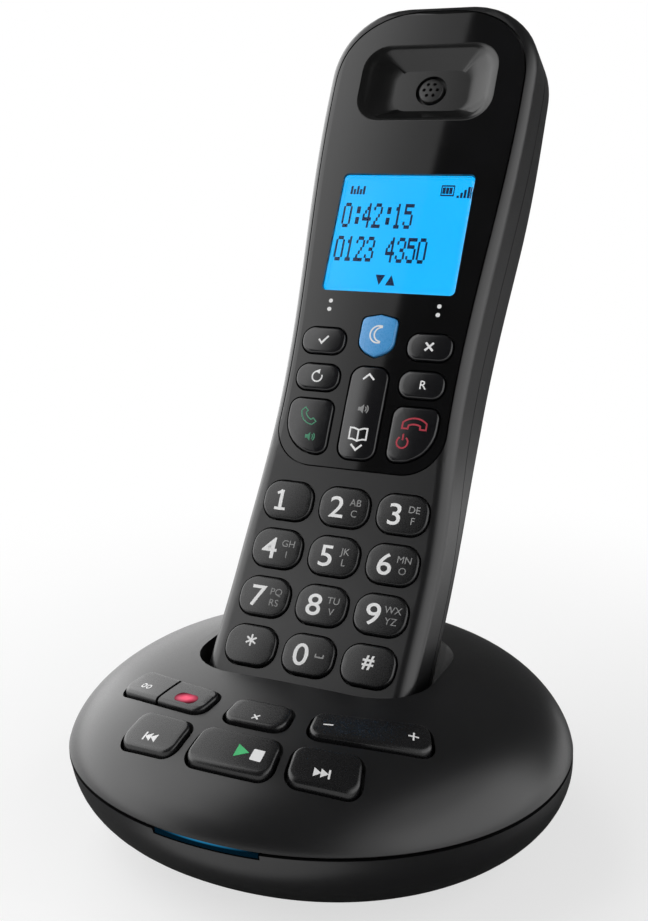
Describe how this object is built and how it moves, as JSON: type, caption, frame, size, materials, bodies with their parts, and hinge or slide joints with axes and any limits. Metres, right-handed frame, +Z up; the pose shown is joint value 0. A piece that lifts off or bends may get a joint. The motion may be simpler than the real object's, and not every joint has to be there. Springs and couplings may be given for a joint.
{
  "type": "telephone answering machine",
  "caption": "Free-standing telephone answering machine: a round domed base with message keys and a cradle, and a slim cordless handset that stands in it, leaning back.",
  "frame": {"origin": "on the ground, under the middle of the whole machine's box; the base's own middle is 16.6 mm in front of it, because the handset leans back past the base", "axes": "+Z up, -Y towards the user, +X to the user's right as they face the keys"},
  "size_m": [0.1114, 0.1446, 0.1786],
  "materials": {
    "casing": "matt black moulded plastic with a fine grain",
    "gloss_panel": "polished black",
    "keys": "satin black",
    "blue_key": "satin blue",
    "display_window": "clear polished",
    "display": "backlit blue",
    "rubber": "matt",
    "circuit_board": "green solder mask",
    "steel": "plain steel",
    "contacts": "gold flash",
    "cell_sleeve": "printed sleeve, plain green",
    "light_guide": "clear blue light guide",
    "socket": "moulded"
  },
  "bodies": {
    "base": {"base_top_cover": "casing", "base_bottom_tray": "casing", "light_strip": "light_guide", "base_circuit_board": "circuit_board", "base_key_mat": "rubber", "base_speaker": "steel", "line_socket": "socket", "power_socket": "socket", "foot_front_left": "rubber", "foot_front_right": "rubber", "foot_rear_left": "rubber", "foot_rear_right": "rubber"},
    "handset": {"handset_front_cover": "casing", "handset_rear_cover": "casing", "front_plate": "gloss_panel", "handset_circuit_board": "circuit_board", "handset_key_mat": "rubber", "display_window": "display_window", "lcd_module": "display", "earpiece_speaker": "steel", "microphone": "steel", "battery_left": "cell_sleeve", "battery_right": "cell_sleeve", "battery_contact_strip": "steel", "handset_screw_left": "steel", "handset_screw_right": "steel", "charge_contact_left": "contacts", "charge_contact_right": "contacts"},
    "battery_door": {"battery_door": "casing"},
    "charge_pin_left": {"charge_pin_left": "contacts"},
    "charge_pin_right": {"charge_pin_right": "contacts"},
    "key_navigation": {"key_navigation": "keys"},
    "base_key_volume": {"base_key_volume": "keys"},
    "base_key_find": {"base_key_find": "keys"},
    "base_key_answer": {"base_key_answer": "keys"},
    "base_key_delete": {"base_key_delete": "keys"},
    "base_key_skip_back": {"base_key_skip_back": "keys"},
    "base_key_play_stop": {"base_key_play_stop": "keys"},
    "base_key_skip_forward": {"base_key_skip_forward": "keys"},
    "key_talk": {"key_talk": "keys"},
    "key_end": {"key_end": "keys"},
    "key_do_not_disturb": {"key_do_not_disturb": "blue_key"},
    "key_menu": {"key_menu": "keys"},
    "key_mute": {"key_mute": "keys"},
    "key_redial": {"key_redial": "keys"},
    "key_recall": {"key_recall": "keys"},
    "key_1": {"key_1": "keys"},
    "key_2": {"key_2": "keys"},
    "key_3": {"key_3": "keys"},
    "key_4": {"key_4": "keys"},
    "key_5": {"key_5": "keys"},
    "key_6": {"key_6": "keys"},
    "key_7": {"key_7": "keys"},
    "key_8": {"key_8": "keys"},
    "key_9": {"key_9": "keys"},
    "key_star": {"key_star": "keys"},
    "key_0": {"key_0": "keys"},
    "key_hash": {"key_hash": "keys"}
  },
  "joints": [
    {"name": "handset_lift", "type": "slide", "parent": "base", "child": "handset", "axis": [0, 0.617, 0.7869], "range_m": [0, 0.12]},
    {"name": "battery_door_slide", "type": "slide", "parent": "handset", "child": "battery_door", "axis": [0, -0.4672, -0.8842], "range_m": [0, 0.035]},
    {"name": "navigation_rocker", "type": "hinge", "parent": "handset", "child": "key_navigation", "pos_m": [0, 0.00835, 0.08679], "axis": [1, 0, 0], "range_deg": [-3, 3], "stiffness_Nm_per_rad": 0.3},
    {"name": "volume_rocker", "type": "hinge", "parent": "base", "child": "base_key_volume", "pos_m": [0.0228, -0.04476, 0.033], "axis": [0.289, -0.9573, 0], "range_deg": [-2.5, 2.5], "stiffness_Nm_per_rad": 0.4},
    {"name": "charge_pin_left_press", "type": "slide", "parent": "base", "child": "charge_pin_left", "axis": [0, -0.617, -0.7869], "range_m": [0, 0.0012], "stiffness_N_per_m": 300},
    {"name": "charge_pin_right_press", "type": "slide", "parent": "base", "child": "charge_pin_right", "axis": [0, -0.617, -0.7869], "range_m": [0, 0.0012], "stiffness_N_per_m": 300},
    {"name": "find_press", "type": "slide", "parent": "base", "child": "base_key_find", "axis": [0, 0, -1], "range_m": [0, 0.0008], "stiffness_N_per_m": 1000},
    {"name": "answer_press", "type": "slide", "parent": "base", "child": "base_key_answer", "axis": [0, 0, -1], "range_m": [0, 0.0008], "stiffness_N_per_m": 1000},
    {"name": "delete_press", "type": "slide", "parent": "base", "child": "base_key_delete", "axis": [0, 0, -1], "range_m": [0, 0.0008], "stiffness_N_per_m": 1000},
    {"name": "skip_back_press", "type": "slide", "parent": "base", "child": "base_key_skip_back", "axis": [0, 0, -1], "range_m": [0, 0.0008], "stiffness_N_per_m": 1000},
    {"name": "play_stop_press", "type": "slide", "parent": "base", "child": "base_key_play_stop", "axis": [0, 0, -1], "range_m": [0, 0.0008], "stiffness_N_per_m": 1000},
    {"name": "skip_forward_press", "type": "slide", "parent": "base", "child": "base_key_skip_forward", "axis": [0, 0, -1], "range_m": [0, 0.0008], "stiffness_N_per_m": 1000},
    {"name": "talk_press", "type": "slide", "parent": "handset", "child": "key_talk", "axis": [0, 0.8842, -0.4672], "range_m": [0, 0.0008], "stiffness_N_per_m": 1000},
    {"name": "end_press", "type": "slide", "parent": "handset", "child": "key_end", "axis": [0, 0.8842, -0.4672], "range_m": [0, 0.0008], "stiffness_N_per_m": 1000},
    {"name": "do_not_disturb_press", "type": "slide", "parent": "handset", "child": "key_do_not_disturb", "axis": [0, 0.8842, -0.4672], "range_m": [0, 0.0008], "stiffness_N_per_m": 1000},
    {"name": "menu_press", "type": "slide", "parent": "handset", "child": "key_menu", "axis": [0, 0.8842, -0.4672], "range_m": [0, 0.0008], "stiffness_N_per_m": 1000},
    {"name": "mute_press", "type": "slide", "parent": "handset", "child": "key_mute", "axis": [0, 0.8842, -0.4672], "range_m": [0, 0.0008], "stiffness_N_per_m": 1000},
    {"name": "redial_press", "type": "slide", "parent": "handset", "child": "key_redial", "axis": [0, 0.8842, -0.4672], "range_m": [0, 0.0008], "stiffness_N_per_m": 1000},
    {"name": "recall_press", "type": "slide", "parent": "handset", "child": "key_recall", "axis": [0, 0.8842, -0.4672], "range_m": [0, 0.0008], "stiffness_N_per_m": 1000},
    {"name": "key_1_press", "type": "slide", "parent": "handset", "child": "key_1", "axis": [0, 0.8684, -0.4959], "range_m": [0, 0.0008], "stiffness_N_per_m": 1000},
    {"name": "key_2_press", "type": "slide", "parent": "handset", "child": "key_2", "axis": [0, 0.8684, -0.4959], "range_m": [0, 0.0008], "stiffness_N_per_m": 1000},
    {"name": "key_3_press", "type": "slide", "parent": "handset", "child": "key_3", "axis": [0, 0.8684, -0.4959], "range_m": [0, 0.0008], "stiffness_N_per_m": 1000},
    {"name": "key_4_press", "type": "slide", "parent": "handset", "child": "key_4", "axis": [0, 0.8317, -0.5552], "range_m": [0, 0.0008], "stiffness_N_per_m": 1000},
    {"name": "key_5_press", "type": "slide", "parent": "handset", "child": "key_5", "axis": [0, 0.8317, -0.5552], "range_m": [0, 0.0008], "stiffness_N_per_m": 1000},
    {"name": "key_6_press", "type": "slide", "parent": "handset", "child": "key_6", "axis": [0, 0.8317, -0.5552], "range_m": [0, 0.0008], "stiffness_N_per_m": 1000},
    {"name": "key_7_press", "type": "slide", "parent": "handset", "child": "key_7", "axis": [0, 0.791, -0.6118], "range_m": [0, 0.0008], "stiffness_N_per_m": 1000},
    {"name": "key_8_press", "type": "slide", "parent": "handset", "child": "key_8", "axis": [0, 0.791, -0.6118], "range_m": [0, 0.0008], "stiffness_N_per_m": 1000},
    {"name": "key_9_press", "type": "slide", "parent": "handset", "child": "key_9", "axis": [0, 0.791, -0.6118], "range_m": [0, 0.0008], "stiffness_N_per_m": 1000},
    {"name": "key_star_press", "type": "slide", "parent": "handset", "child": "key_star", "axis": [0, 0.7869, -0.617], "range_m": [0, 0.0008], "stiffness_N_per_m": 1000},
    {"name": "key_0_press", "type": "slide", "parent": "handset", "child": "key_0", "axis": [0, 0.7869, -0.617], "range_m": [0, 0.0008], "stiffness_N_per_m": 1000},
    {"name": "key_hash_press", "type": "slide", "parent": "handset", "child": "key_hash", "axis": [0, 0.7869, -0.617], "range_m": [0, 0.0008], "stiffness_N_per_m": 1000}
  ]
}
